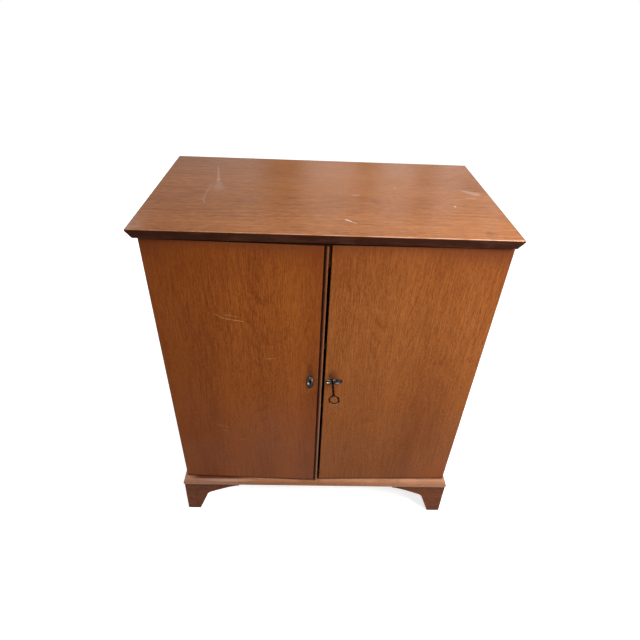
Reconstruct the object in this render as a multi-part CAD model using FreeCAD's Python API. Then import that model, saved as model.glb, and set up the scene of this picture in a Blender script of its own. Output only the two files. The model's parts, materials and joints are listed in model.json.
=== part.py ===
import FreeCAD, Part
import math
import os

os.makedirs("parts", exist_ok=True)

# Overall sizes in millimetres
total_height = 968.0
body_width = 776.0
lid_width = 800.0
lid_depth = 470.0
lid_thickness = 24.0
lid_offset = -4.0
front_overhang = 18.0

# Lid edge: a short square band above an undercut bevel
lid_band = 4.0
bevel_inset = 9.0
lid_top_round = 2.0
lid_low_round = 2.5

# Boards of the carcass
side_thickness = 20.0
back_thickness = 6.0
board_thickness = 18.0
rail_thickness = 20.0
front_rail_height = 70.0
rear_rail_height = 60.0
lid_gap = 3.0
shelf_play = 1.5
shelf_setback = 30.0
deck_setback = 3.0
laminate_thickness = 1.5
batten_size = 18.0
deck_below_stay = 36.0

# Doors and their pivots
door_thickness = 20.0
door_back_gap = 2.5
door_edge_round = 1.5
seam_centre = 4.5
seam_gap = 6.0
left_ajar = 1.6
right_ajar = 1.0
pivot_inset = 6.0
pivot_plate = 2.4
pivot_play = 0.6
pivot_plate_width = 12.0
pivot_plate_back = 45.0
low_plate_length = 34.0
pivot_pin_radius = 2.5
pivot_pin_length = 11.0
bush_radius = 4.0
bush_length = 12.0
fit_play = 0.05

# Bead on the meeting edge of the left door
bead_width = 10.5
quirk_width = 4.0
quirk_depth = 5.0
bead_proud = 1.2
bead_shoulder = 2.0

# Base moulding and bracket feet
foot_height = 122.5
base_height = 27.5
base_reach = 13.0
base_strip = 62.0
nose_under = 2.5
nose_drop = 19.0
foot_reach = 11.0
foot_splay = 2.0
foot_board = 22.0
foot_ease = 3.5
foot_toe = 24.0
toe_round = 6.0
foot_cusp_in = 57.0
foot_cusp_height = 83.0
foot_run = 153.0
foot_tip = 3.0
cusp_round = 22.0
rear_foot_run = 100.0
block_size = 46.0

# Lid hinges at the back
hinge_count = 2
hinge_spread = 260.0
hinge_length = 70.0
hinge_leaf = 1.2
hinge_leaf_depth = 24.0
knuckle_radius = 4.0
knuckle_middle = 23.0
knuckle_gap = 0.4
knuckle_off = 0.3
hinge_pin_radius = 2.0

# Quadrant stays that hold the lid open
stay_radius = 250.0
stay_bar = 3.0
stay_bar_width = 10.0
stay_off_side = 8.0
stay_end_angle = 86.4
stay_peg_angle = 85.0
stay_foot_length = 50.0
stay_foot = 1.2
peg_radius = 2.5
peg_length = 10.0
keeper_drop = 14.0
keeper_height = 12.0
keeper_depth = 24.0
keeper_width = 13.0
keeper_play = 0.4

# Shelf supports
pin_radius = 3.0
pin_depth = 9.0
pin_row = 2
pin_pitch = 32.0
pin_edge = 70.0
ledge_length = 11.0
ledge_width = 10.0
ledge_height = 8.0
shelf_height = 400.0

# Small fittings
bumper_radius = 6.0
bumper_height = 2.6
bumper_spread = 300.0
catch_spread = 60.0
catch_width = 44.0
catch_height = 14.0
catch_depth = 26.0
catch_plate = 1.2
catch_proud = 0.7
catch_plate_height = 12.0

# Key plates, key and lock
key_side = 28.0
key_below_deck = 77.5
plate_long = 42.0
plate_short = 17.0
plate_thick = 1.6
plate_end_radius = 5.5
plate_hole_up = 4.0
keyhole_radius = 3.6
keyhole_slot = 3.2
keyhole_drop = 10.0
blind_depth = 9.0
key_out = 79.0
shank_radius = 3.0
bow_radius = 12.0
bow_wire = 1.7
collar_radius = 4.0
collar_length = 3.0
collar_off_bow = 1.0
lock_sheet = 1.6
lock_depth = 16.0
lock_edge = 1.5
lock_length = 46.0
lock_half_height = 22.0
hub_radius = 5.0
arm_reach = 10.0
arm_half_height = 4.0
arm_front = 3.6
arm_thickness = 4.0
crank_radius = 7.0
crank_pin_radius = 2.0
bolt_thickness = 3.0
bolt_half_height = 6.0
bolt_air = 1.2
yoke_play = 1.9
yoke_rim = 4.0
keeper_block = 7.0
keeper_block_length = 26.0
keeper_block_half = 15.0

V = FreeCAD.Vector


def turn_about(point, pivot, degrees):
    angle = math.radians(degrees)
    way = point - pivot
    x = way.x * math.cos(angle) - way.y * math.sin(angle)
    y = way.x * math.sin(angle) + way.y * math.cos(angle)
    return pivot + V(x, y, way.z)


# Depths counted from the front edge of the lid, then set about the middle of the whole
half_body = body_width / 2
half_inside = half_body - side_thickness
door_mid = front_overhang + door_thickness / 2
bow_outer = bow_radius + bow_wire
bow_centre = V(key_side, front_overhang - key_out + bow_outer, 0)
bow_ajar = turn_about(bow_centre, V(half_body - pivot_inset, door_mid, 0), right_ajar)
rear_most = lid_depth + knuckle_off + 2 * knuckle_radius
front_most = bow_ajar.y - bow_outer

lid_front = -(rear_most + front_most) / 2
lid_rear = lid_front + lid_depth
door_front = lid_front + front_overhang
door_back = door_front + door_thickness
carcass_front = door_back + door_back_gap
carcass_rear = lid_rear
back_front = carcass_rear - back_thickness

# Heights counted from the floor
lid_under = total_height - lid_thickness
carcass_top = lid_under - lid_gap
base_top = foot_height + base_height
door_low = base_top + pivot_plate + pivot_play
door_high = carcass_top - pivot_play
axis_y = carcass_rear + knuckle_off + knuckle_radius
axis_z = carcass_top + lid_gap / 2
deck_top = axis_z - stay_radius - deck_below_stay
deck_low = deck_top - laminate_thickness - board_thickness
bottom_top = base_top + board_thickness
key_height = deck_low - key_below_deck

# Pivots of the two doors
left_pivot = V(-half_body + pivot_inset, door_front + door_thickness / 2, 0)
right_pivot = V(half_body - pivot_inset, door_front + door_thickness / 2, 0)
left_free = seam_centre - seam_gap / 2
right_free = seam_centre + seam_gap / 2
left_panel_edge = left_free - bead_width


def box(x0, x1, y0, y1, z0, z1):
    return Part.makeBox(x1 - x0, y1 - y0, z1 - z0, V(x0, y0, z0))


def rod(radius, start, end):
    way = end - start
    return Part.makeCylinder(radius, way.Length, start, way)


def prism(corners, way):
    return Part.Face(Part.makePolygon(corners + corners[:1])).extrude(way)


def solid_from(edges, way):
    return Part.Face(Part.Wire(edges)).extrude(way)


def line(a, b):
    return Part.makeLine(a, b)


def bow_line(a, b, c):
    return Part.Arc(a, b, c).toShape()


def other_side(shape):
    return shape.mirror(V(0, 0, 0), V(1, 0, 0))


def both_sides(shape):
    return Part.makeCompound([shape, other_side(shape)])


def joined(first, *others):
    return first.fuse(list(others)).removeSplitter()


def swing_left(shape):
    turned = shape.copy()
    turned.rotate(left_pivot, V(0, 0, 1), -left_ajar)
    return turned


def swing_right(shape):
    turned = shape.copy()
    turned.rotate(right_pivot, V(0, 0, 1), right_ajar)
    return turned


def edges_at(shape, test):
    return [edge for edge in shape.Edges if all(test(v.Point) for v in edge.Vertexes)]


def near(a, b):
    return abs(a - b) < 1e-4


def save(node, shape):
    shape.exportStep("parts/" + node + ".step")


# Lid with its undercut edge on the front and both ends
def lid_panel():
    x0 = lid_offset - lid_width / 2
    x1 = x0 + lid_width
    z = total_height - lid_band
    upper = [V(x0, lid_front, z), V(x1, lid_front, z), V(x1, lid_rear, z), V(x0, lid_rear, z)]
    low_y = lid_front + bevel_inset
    low = [V(x0 + bevel_inset, low_y, lid_under), V(x1 - bevel_inset, low_y, lid_under)]
    low += [V(x1 - bevel_inset, lid_rear, lid_under), V(x0 + bevel_inset, lid_rear, lid_under)]
    outlines = [Part.makePolygon(ring + ring[:1]) for ring in (upper, low)]
    panel = joined(Part.makeLoft(outlines, True, True), box(x0, x1, lid_front, lid_rear, z, total_height))
    panel = panel.makeFillet(lid_top_round, edges_at(panel, lambda p: near(p.z, total_height)))
    rim = [e for e in edges_at(panel, lambda p: near(p.z, lid_under)) if e.CenterOfMass.y < lid_rear - 1]
    return panel.makeFillet(lid_low_round, rim)


# Hinge leaves: the lower ones carry the outer knuckles, the upper ones the middle knuckle
def hinge_places():
    step = 2 * hinge_spread / (hinge_count - 1)
    return [-hinge_spread + step * number for number in range(hinge_count)]


def hinge_leaf_at(x, low, spans):
    z = carcass_top if low else lid_under - hinge_leaf
    leaf_front = carcass_rear - hinge_leaf_depth
    parts = [box(x - hinge_length / 2, x + hinge_length / 2, leaf_front, carcass_rear, z, z + hinge_leaf)]
    for start, end in spans:
        parts.append(box(x + start, x + end, carcass_rear, axis_y, z, z + hinge_leaf))
        parts.append(rod(knuckle_radius, V(x + start, axis_y, axis_z), V(x + end, axis_y, axis_z)))
    leaf = joined(*parts)
    reach = hinge_length
    return leaf.cut(rod(hinge_pin_radius + fit_play, V(x - reach, axis_y, axis_z), V(x + reach, axis_y, axis_z)))


def hinge_leaves(low):
    half = knuckle_middle / 2
    outer = half + knuckle_gap
    spans = [(-hinge_length / 2, -outer), (outer, hinge_length / 2)] if low else [(-half, half)]
    return Part.makeCompound([hinge_leaf_at(x, low, spans) for x in hinge_places()])


def hinge_pins():
    half = hinge_length / 2
    ends = [(V(x - half, axis_y, axis_z), V(x + half, axis_y, axis_z)) for x in hinge_places()]
    return Part.makeCompound([rod(hinge_pin_radius, start, end) for start, end in ends])


# Quadrant stays: arcs about the hinge line, fixed to the lid and running through keepers
def arc_point(radius, degrees, x):
    angle = math.radians(degrees)
    return V(x, axis_y - radius * math.cos(angle), axis_z - radius * math.sin(angle))


def arc_bar(x, thickness, half_width, start, end):
    inner = stay_radius - half_width
    outer = stay_radius + half_width
    middle = (start + end) / 2
    a, b = arc_point(outer, start, x), arc_point(outer, end, x)
    c, d = arc_point(inner, end, x), arc_point(inner, start, x)
    outside = bow_line(a, arc_point(outer, middle, x), b)
    inside = bow_line(c, arc_point(inner, middle, x), d)
    return solid_from([outside, line(b, c), inside, line(d, a)], V(thickness, 0, 0))


stay_x = half_inside - stay_off_side


def quadrant_stay():
    x = stay_x - stay_bar / 2
    y = axis_y - stay_radius
    half = stay_bar_width / 2
    bar = arc_bar(x, stay_bar, half, 0, stay_end_angle)
    neck = box(x, x + stay_bar, y - half, y + half, axis_z, lid_under)
    foot_z = lid_under - stay_foot
    half_foot = stay_foot_length / 2
    foot = box(x - half, x + stay_bar + half / 2, y - half_foot, y + half_foot, foot_z, lid_under)
    peg = arc_point(stay_radius, stay_peg_angle, 0)
    hole = rod(peg_radius + fit_play, peg + V(x - 1, 0, 0), peg + V(x + stay_bar + 1, 0, 0))
    return both_sides(joined(bar, neck, foot).cut(hole))


def stay_pegs():
    peg = arc_point(stay_radius, stay_peg_angle, stay_x)
    return both_sides(rod(peg_radius, peg - V(peg_length / 2, 0, 0), peg + V(peg_length / 2, 0, 0)))


def stay_keepers():
    z = axis_z - keeper_drop
    y = axis_y - math.sqrt(stay_radius ** 2 - keeper_drop ** 2)
    half_y, half_z = keeper_depth / 2, keeper_height / 2
    block = box(half_inside - keeper_width, half_inside, y - half_y, y + half_y, z - half_z, z + half_z)
    slot = stay_bar + 2 * keeper_play
    way = arc_bar(stay_x - slot / 2, slot, stay_bar_width / 2 + keeper_play, 0, stay_end_angle)
    return both_sides(block.cut(way))


# Carcass boards
pin_columns = [carcass_front + pin_edge, back_front - pin_edge]
pin_drop = ledge_height / 2


# Rows of holes counted down from the one that the shelf uses
def pin_heights():
    return [shelf_height - pin_drop - number * pin_pitch for number in range(pin_row)]


def side_panel():
    panel = box(half_inside, half_body, carcass_front, carcass_rear, base_top, carcass_top)
    for y in pin_columns:
        for z in pin_heights():
            start = V(half_inside, y, z)
            panel = panel.cut(rod(pin_radius + fit_play, start, start + V(pin_depth, 0, 0)))
    return panel


def shelf_pin(y):
    z = shelf_height - pin_drop
    stem = rod(pin_radius, V(half_inside - 1, y, z), V(half_inside + pin_depth, y, z))
    half = ledge_width / 2
    low = shelf_height - ledge_height
    return joined(stem, box(half_inside - ledge_length, half_inside, y - half, y + half, low, shelf_height))


def boards():
    inside = half_inside
    rear_y = back_front - rail_thickness
    rail_y = carcass_front + rail_thickness
    rail_z = carcass_top - front_rail_height
    rear_z = carcass_top - rear_rail_height
    deck_y = carcass_front + deck_setback
    sheet_low = deck_top - laminate_thickness
    shelf_x = inside - shelf_play
    shelf_y = carcass_front + shelf_setback
    shelf_top = shelf_height + board_thickness
    batten = box(inside - batten_size, inside, deck_y, back_front, deck_low - batten_size, deck_low)
    return {
        "side_panel_right": side_panel(),
        "side_panel_left": other_side(side_panel()),
        "back_panel": box(-inside, inside, back_front, carcass_rear, base_top, carcass_top),
        "bottom_board": box(-inside, inside, carcass_front, back_front, base_top, bottom_top),
        "front_top_rail": box(-inside, inside, carcass_front, rail_y, rail_z, carcass_top),
        "rear_hinge_rail": box(-inside, inside, rear_y, back_front, rear_z, carcass_top),
        "bar_deck": box(-inside, inside, deck_y, back_front, deck_low, sheet_low),
        "bar_deck_laminate": box(-inside, inside, deck_y, back_front, sheet_low, deck_top),
        "deck_battens": both_sides(batten),
        "shelf": box(-shelf_x, shelf_x, shelf_y, back_front - shelf_play, shelf_height, shelf_top),
        "shelf_pins": Part.makeCompound([both_sides(shelf_pin(y)) for y in pin_columns]),
    }


# Base moulding: one rounded section, mitred at the two front corners
nose_x = half_body + base_reach
nose_y = door_front - base_reach


def moulding(at, way):
    low, high = foot_height, base_top
    nose = high - nose_drop
    shoulder = base_reach + 1
    a, b = at(base_strip, high), at(shoulder, high)
    c, d, e = at(0, nose), at(nose_under, low), at(base_strip, low)
    upper = bow_line(b, at(shoulder * 0.28, high - nose_drop * 0.38), c)
    lower = bow_line(c, at(nose_under * 0.25, (nose + low) / 2), d)
    return solid_from([line(a, b), upper, lower, line(d, e), line(e, a)], way)


def base_moulding_front():
    strip = moulding(lambda o, z: V(-nose_x, nose_y + o, z), V(2 * nose_x, 0, 0))
    inner = nose_x - base_strip
    corners = [V(-nose_x, nose_y, foot_height), V(nose_x, nose_y, foot_height)]
    corners += [V(inner, nose_y + base_strip, foot_height), V(-inner, nose_y + base_strip, foot_height)]
    return strip.common(prism(corners, V(0, 0, base_height)))


def base_moulding_right():
    strip = moulding(lambda o, z: V(nose_x - o, nose_y, z), V(0, carcass_rear - nose_y, 0))
    inner = nose_x - base_strip
    corners = [V(nose_x, nose_y, foot_height), V(nose_x, carcass_rear, foot_height)]
    corners += [V(inner, carcass_rear, foot_height), V(inner, nose_y + base_strip, foot_height)]
    return strip.common(prism(corners, V(0, 0, base_height)))


def base_rear_rail():
    inner = nose_x - base_strip
    return box(-inner, inner, carcass_rear - base_strip, carcass_rear, foot_height, base_top)


# Bracket feet: shaped boards that splay outwards, are eased at the floor and meet in a mitre
foot_far = 2 * base_strip


def foot_shape(at, way, run):
    top = foot_height
    toe, cusp = at(foot_toe, 0), at(foot_cusp_in, foot_cusp_height)
    rise = top - foot_tip - foot_cusp_height
    span = run - foot_cusp_in
    tip = at(run, top - foot_tip)
    sweep = Part.BezierCurve()
    knee = at(foot_cusp_in + span * 0.38, foot_cusp_height + rise * 0.46)
    ease = at(foot_cusp_in + span * 0.76, top - foot_tip - rise * 0.06)
    sweep.setPoles([cusp, knee, ease, tip])
    far_low, far_top = at(-foot_far, 0), at(-foot_far, top)
    edges = [line(far_top, far_low), line(far_low, toe), line(toe, cusp), sweep.toShape()]
    edges += [line(tip, at(run, top)), line(at(run, top), far_top)]
    shape = solid_from(edges, way)
    for corner, radius in ((cusp, cusp_round), (toe, toe_round)):
        ends = (corner, corner + way)
        fold = edges_at(shape, lambda p: min((p - end).Length for end in ends) < 1e-3)
        shape = shape.makeFillet(radius, fold)
    return shape


def front_slab(x0, x1):
    top = door_front - foot_reach
    low = top - foot_splay
    corners = [V(x0, top, foot_height), V(x0, low, 0), V(x0, low + foot_board, 0)]
    slab = prism(corners + [V(x0, top + foot_board, foot_height)], V(x1 - x0, 0, 0))
    return slab.makeFillet(foot_ease, edges_at(slab, lambda p: near(p.z, 0) and near(p.y, low)))


def side_slab(y0, y1):
    top = half_body + foot_reach
    low = top + foot_splay
    corners = [V(top, y0, foot_height), V(low, y0, 0), V(low - foot_board, y0, 0)]
    slab = prism(corners + [V(top - foot_board, y0, foot_height)], V(0, y1 - y0, 0))
    return slab.makeFillet(foot_ease, edges_at(slab, lambda p: near(p.z, 0) and near(p.x, low)))


def front_foot_face():
    reach = foot_far
    shape = foot_shape(lambda s, z: V(half_body - s, door_front - reach, z), V(0, 2 * reach, 0), foot_run)
    corners = [V(half_body + reach, door_front - reach, 0), V(half_body - reach, door_front + reach, 0)]
    corners += [V(0, door_front + reach, 0), V(0, door_front - reach, 0)]
    half = prism(corners, V(0, 0, foot_height))
    return shape.common(front_slab(0, half_body + reach)).common(half)


def front_foot_side():
    reach = foot_far
    shape = foot_shape(lambda s, z: V(half_body - reach, door_front + s, z), V(2 * reach, 0, 0), foot_run)
    corners = [V(half_body + reach, door_front - reach, 0), V(half_body - reach, door_front + reach, 0)]
    corners += [V(half_body - reach, carcass_rear, 0), V(half_body + reach, carcass_rear, 0)]
    half = prism(corners, V(0, 0, foot_height))
    return shape.common(side_slab(door_front - reach, carcass_rear)).common(half)


def rear_foot_side():
    reach = foot_far
    shape = foot_shape(lambda s, z: V(half_body - reach, carcass_rear - s, z), V(2 * reach, 0, 0), foot_run)
    return shape.common(side_slab(door_front, carcass_rear))


def rear_foot_back():
    start = carcass_rear - foot_board
    shape = foot_shape(lambda s, z: V(half_body - s, start, z), V(0, foot_board, 0), rear_foot_run)
    shape = shape.common(box(0, half_body, start, carcass_rear, 0, foot_height))
    return shape.cut(side_slab(start - 1, carcass_rear + 1))


def foot_blocks():
    inner = half_body - block_size
    front = box(inner, half_body, door_front, door_front + block_size, foot_cusp_height, foot_height)
    front = front.cut(front_slab(0, half_body + foot_far)).cut(side_slab(door_front, carcass_rear))
    start = carcass_rear - block_size
    rear = box(inner, half_body, start, carcass_rear - foot_board, foot_cusp_height, foot_height)
    rear = rear.cut(side_slab(start - 1, carcass_rear))
    return Part.makeCompound([both_sides(front), both_sides(rear)])


# Pivot hinges: a plate with a pin above and below each door, a bush in each door edge
def upper_pivot_plate():
    x = right_pivot.x
    half = pivot_plate_width / 2
    y = right_pivot.y
    low, high = carcass_top, carcass_top + pivot_plate
    plate = box(x - half, x + half, y, carcass_front + pivot_plate_back, low, high)
    nose = rod(half, V(x, y, low), V(x, y, high))
    pin = rod(pivot_pin_radius, V(x, y, high), V(x, y, low - pivot_pin_length))
    return joined(plate, nose, pin)


def lower_pivot_plate():
    x, y = right_pivot.x, right_pivot.y
    half = pivot_plate_width / 2
    high = base_top + pivot_plate
    plate = box(x + half - low_plate_length, x + half, y - half, y + half, base_top, high)
    return joined(plate, rod(pivot_pin_radius, V(x, y, base_top), V(x, y, high + pivot_pin_length)))


def bush_places():
    return [(door_low, door_low + bush_length), (door_high - bush_length, door_high)]


def bushes(pivot):
    made = []
    for low, high in bush_places():
        start, end = V(pivot.x, pivot.y, low), V(pivot.x, pivot.y, high)
        made.append(rod(bush_radius, start, end).cut(rod(pivot_pin_radius + fit_play, start, end)))
    return Part.makeCompound(made)


def door_panel(x0, x1, pivot):
    panel = box(x0, x1, door_front, door_back, door_low, door_high)
    panel = panel.makeFillet(door_edge_round, edges_at(panel, lambda p: near(p.y, door_front)))
    for low, high in bush_places():
        hole = rod(bush_radius + fit_play, V(pivot.x, pivot.y, low), V(pivot.x, pivot.y, high))
        panel = panel.cut(hole)
    return panel


# Keyhole drawn at the origin with its slot hanging down, looking along the depth
def keyhole(depth):
    hole = rod(keyhole_radius, V(0, 0, 0), V(0, depth, 0))
    half = keyhole_slot / 2
    return joined(hole, box(-half, half, 0, depth, -keyhole_drop, 0))


def placed(shape, x, y, z):
    moved = shape.copy()
    moved.translate(V(x, y, z))
    return moved


# Oval of four arcs that meet smoothly: two tight ends and two long sides
def oval(half_long, half_short, end_radius):
    end = half_long - end_radius
    side_radius = (end ** 2 + half_short ** 2 - end_radius ** 2) / (2 * (half_short - end_radius))
    drop = side_radius - half_short
    stretch = side_radius / (side_radius - end_radius)
    x, z = end * stretch, drop * stretch - drop
    side = V(0, 0, half_short)
    tip = V(half_long, 0, 0)
    a, b, c, d = V(-x, 0, z), V(x, 0, z), V(x, 0, -z), V(-x, 0, -z)
    return Part.Wire([bow_line(a, side, b), bow_line(b, tip, c), bow_line(c, -side, d), bow_line(d, -tip, a)])


def key_plate():
    outline = oval(plate_long / 2, plate_short / 2, plate_end_radius)
    plate = Part.Face(outline).extrude(V(0, -plate_thick, 0))
    plate.rotate(V(0, 0, 0), V(0, 1, 0), 90)
    plate.translate(V(0, 0, -plate_hole_up))
    return plate.cut(placed(keyhole(3 * plate_thick), 0, -2 * plate_thick, 0))


def meeting_bead():
    x0, x1 = left_panel_edge, left_free
    quirk = x0 + quirk_width
    y = door_front + bead_shoulder
    floor = door_front + quirk_depth
    crown = V((quirk + x1) / 2, door_front - bead_proud, door_low)
    corners = [V(quirk, y, door_low), V(quirk, floor, door_low), V(x0, floor, door_low)]
    corners += [V(x0, door_back, door_low), V(x1, door_back, door_low), V(x1, y, door_low)]
    edges = [line(a, b) for a, b in zip(corners, corners[1:])]
    edges.append(bow_line(corners[-1], crown, corners[0]))
    return solid_from(edges, V(0, 0, door_high - door_low))


# Lock on the back of the right door, with a crank that the key turns and a bolt that it slides
case_left = right_free + lock_edge
case_right = case_left + lock_length
case_front = door_back + lock_sheet
case_back = door_back + lock_depth
bolt_back = case_back - lock_sheet - bolt_air
bolt_front = bolt_back - bolt_thickness
arm_back = door_back + arm_front + arm_thickness
key_z0 = key_height - lock_half_height
key_z1 = key_height + lock_half_height


def lock_plate():
    plate = box(case_left, case_right, door_back, case_front, key_z0, key_z1)
    axis = V(key_side, door_back, key_height)
    return plate.cut(rod(hub_radius + fit_play, axis, axis + V(0, lock_sheet, 0)))


def lock_case():
    sheet = lock_sheet
    case = box(case_left, case_right, case_front, case_back, key_z0, key_z1)
    x0, x1 = case_left + sheet, case_right - sheet
    hollow = box(x0, x1, case_front, case_back - sheet, key_z0 + sheet, key_z1 - sheet)
    play = bolt_air / 2
    low, high = key_height - bolt_half_height - play, key_height + bolt_half_height + play
    mouth = box(case_left, x0, bolt_front - play, bolt_back + play, low, high)
    return case.cut(hollow).cut(mouth)


def lock_follower():
    def axis(y):
        return V(key_side, y, key_height)
    hub = rod(hub_radius, axis(door_back), axis(arm_back))
    half = arm_half_height
    arm_y = door_back + arm_front
    arm = box(key_side, key_side + arm_reach, arm_y, arm_back, key_height - half, key_height + half)
    aside = V(crank_radius, 0, 0)
    pin = rod(crank_pin_radius, axis(arm_back) + aside, axis(bolt_back) + aside)
    return joined(hub, arm, pin)


def lock_bolt():
    slot_x = key_side + crank_radius
    half_slot = crank_pin_radius + yoke_play
    low = key_height - crank_pin_radius - 0.6
    high = key_height + crank_radius + crank_pin_radius + 0.6
    head = box(case_left, slot_x, bolt_front, bolt_back, key_height - bolt_half_height, key_height + bolt_half_height)
    start, end = slot_x - half_slot - yoke_rim, slot_x + half_slot + yoke_rim
    tail = box(start, end, bolt_front, bolt_back, low - yoke_rim, high + yoke_rim)
    slot = box(slot_x - half_slot, slot_x + half_slot, bolt_front, bolt_back, low, high)
    return joined(head, tail).cut(slot)


def lock_keeper():
    x1 = left_free - 1
    x0 = x1 - keeper_block_length
    half = keeper_block_half
    return box(x0, x1, door_back, door_back + keeper_block, key_height - half, key_height + half)


# Key: a ring bow lying flat and a long shank with a collar
def key_bow(centre):
    low = centre - V(0, 0, bow_wire)
    high = centre + V(0, 0, bow_wire)
    return rod(bow_outer, low, high).cut(rod(bow_radius - bow_wire, low, high))


def key():
    centre = V(key_side, lid_front + bow_centre.y, key_height)
    end = centre + V(0, bow_radius, 0)
    shank = rod(shank_radius, end, V(key_side, door_back, key_height))
    start = end + V(0, bow_wire + collar_off_bow, 0)
    collar = rod(collar_radius, start, start + V(0, collar_length, 0))
    return joined(key_bow(centre), shank, collar)


def bumpers():
    y = carcass_front + rail_thickness / 2
    start = V(bumper_spread, y, carcass_top)
    return both_sides(rod(bumper_radius, start, start + V(0, 0, bumper_height)))


catch_high = carcass_top - front_rail_height


def door_catches():
    half = catch_width / 2
    y = carcass_front - catch_proud
    low = catch_high - catch_height
    return both_sides(box(catch_spread - half, catch_spread + half, y, y + catch_depth, low, catch_high))


def catch_plate_on_door(x):
    half = catch_width / 2
    z = catch_high - catch_height / 2
    half_z = catch_plate_height / 2
    return box(x - half, x + half, door_back, door_back + catch_plate, z - half_z, z + half_z)


def right_door():
    panel = door_panel(right_free, half_body, right_pivot)
    hole = placed(keyhole(door_thickness), key_side, door_front, key_height)
    plate = key_plate()
    plate.rotate(V(0, 0, 0), V(0, 1, 0), -90)
    return {
        "right_door_panel": panel.cut(hole),
        "right_door_bushes": bushes(right_pivot),
        "right_key_plate": placed(plate, key_side, door_front, key_height),
        "right_catch_plate": catch_plate_on_door(catch_spread),
        "lock_plate": lock_plate(),
        "lock_case": lock_case(),
        "key": key(),
        "lock_follower": lock_follower(),
        "lock_bolt": lock_bolt(),
    }


def left_door():
    panel = door_panel(-half_body, left_panel_edge, left_pivot)
    hole_z = key_height + plate_hole_up
    hole = placed(keyhole(blind_depth), -key_side, door_front, hole_z)
    return {
        "left_door_panel": panel.cut(hole),
        "meeting_bead": meeting_bead(),
        "left_door_bushes": bushes(left_pivot),
        "left_key_plate": placed(key_plate(), -key_side, door_front, hole_z),
        "left_catch_plate": catch_plate_on_door(-catch_spread),
        "lock_keeper": lock_keeper(),
    }


def feet():
    made = {}
    shapes = {
        "front_{}_foot_face": front_foot_face(),
        "front_{}_foot_side": front_foot_side(),
        "rear_{}_foot_side": rear_foot_side(),
        "rear_{}_foot_back": rear_foot_back(),
    }
    for name, shape in shapes.items():
        made[name.format("right")] = shape
        made[name.format("left")] = other_side(shape)
    return made


fixed = {
    "base_moulding_front": base_moulding_front(),
    "base_moulding_right": base_moulding_right(),
    "base_moulding_left": other_side(base_moulding_right()),
    "base_rear_rail": base_rear_rail(),
    "foot_blocks": foot_blocks(),
    "lid_hinge_lower_leaves": hinge_leaves(True),
    "lid_hinge_pins": hinge_pins(),
    "upper_pivot_plates": both_sides(upper_pivot_plate()),
    "lower_pivot_plates": both_sides(lower_pivot_plate()),
    "stay_keepers": stay_keepers(),
    "lid_bumpers": bumpers(),
    "door_catches": door_catches(),
    "lid_panel": lid_panel(),
    "lid_hinge_upper_leaves": hinge_leaves(False),
    "quadrant_stays": quadrant_stay(),
    "stay_stop_pegs": stay_pegs(),
}

for node, shape in list(fixed.items()) + list(boards().items()) + list(feet().items()):
    save(node, shape)
for node, shape in left_door().items():
    save(node, swing_left(shape))
for node, shape in right_door().items():
    save(node, swing_right(shape))
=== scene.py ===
import functools
import json
import math

import bmesh
import bpy
from mathutils import Matrix, Vector

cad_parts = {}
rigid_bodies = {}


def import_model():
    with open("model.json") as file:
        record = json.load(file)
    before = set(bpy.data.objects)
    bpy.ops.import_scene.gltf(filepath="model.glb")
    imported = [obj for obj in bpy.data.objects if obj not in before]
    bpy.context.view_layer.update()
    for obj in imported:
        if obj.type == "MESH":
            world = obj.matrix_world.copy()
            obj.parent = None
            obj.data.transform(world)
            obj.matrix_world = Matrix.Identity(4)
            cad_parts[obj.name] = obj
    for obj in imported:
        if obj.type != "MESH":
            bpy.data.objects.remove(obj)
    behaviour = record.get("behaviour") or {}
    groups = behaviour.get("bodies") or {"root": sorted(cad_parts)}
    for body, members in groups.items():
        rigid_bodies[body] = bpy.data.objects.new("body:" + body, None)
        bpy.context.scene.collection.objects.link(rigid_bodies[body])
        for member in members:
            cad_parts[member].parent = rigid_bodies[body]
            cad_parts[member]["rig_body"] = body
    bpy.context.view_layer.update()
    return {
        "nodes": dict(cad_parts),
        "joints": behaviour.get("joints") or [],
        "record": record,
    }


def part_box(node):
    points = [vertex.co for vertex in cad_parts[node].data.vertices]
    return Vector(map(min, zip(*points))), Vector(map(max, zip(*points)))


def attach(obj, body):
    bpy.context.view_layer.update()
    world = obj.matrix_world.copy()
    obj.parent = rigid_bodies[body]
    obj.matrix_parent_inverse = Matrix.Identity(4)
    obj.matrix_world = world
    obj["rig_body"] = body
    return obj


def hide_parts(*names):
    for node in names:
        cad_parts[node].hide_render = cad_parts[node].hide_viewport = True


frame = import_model()
joints = {joint["name"]: joint for joint in frame["joints"]}
slot_of = {part["node"]: part["material_slot"] for part in frame["record"]["subparts"]}
body_of = {name: piece["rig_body"] for name, piece in frame["nodes"].items()}

# Places read from the frame, in metres
lid_low, lid_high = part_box("lid_panel")
lid_front, lid_under, lid_top = lid_low.y, lid_low.z, lid_high.z
inner_face, carcass_rear, carcass_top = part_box("back_panel")[1]
carcass_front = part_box("front_top_rail")[0].y
side_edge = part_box("side_panel_right")[1].x
base_low, base_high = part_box("base_moulding_front")
base_front, base_under, base_top = base_low.y, base_low.z, base_high.z
left_panel_low, left_panel_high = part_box("left_door_panel")
free_left, door_foot, door_head = left_panel_high.x, left_panel_low.z, left_panel_high.z
free_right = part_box("right_door_panel")[0].x
bead_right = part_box("meeting_bead")[1].x
hinge_line = joints["lid_flip"]["pos_m"][1]
key_height = joints["key_turn"]["pos_m"][2]

# The doors as they are when shut, and the middles of their key plates
door_thickness = 0.020
door_front = joints["left_door_swing"]["pos_m"][1] - door_thickness / 2
door_back = door_front + door_thickness
left_box = Vector((-side_edge, door_front, door_foot)), Vector((free_left, door_back, door_head))
right_box = Vector((free_right, door_front, door_foot)), Vector((side_edge, door_back, door_head))
plate_aside = 0.028
left_plate = Vector((-plate_aside, door_front, key_height))
right_plate = Vector((plate_aside, door_front, key_height))

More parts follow.
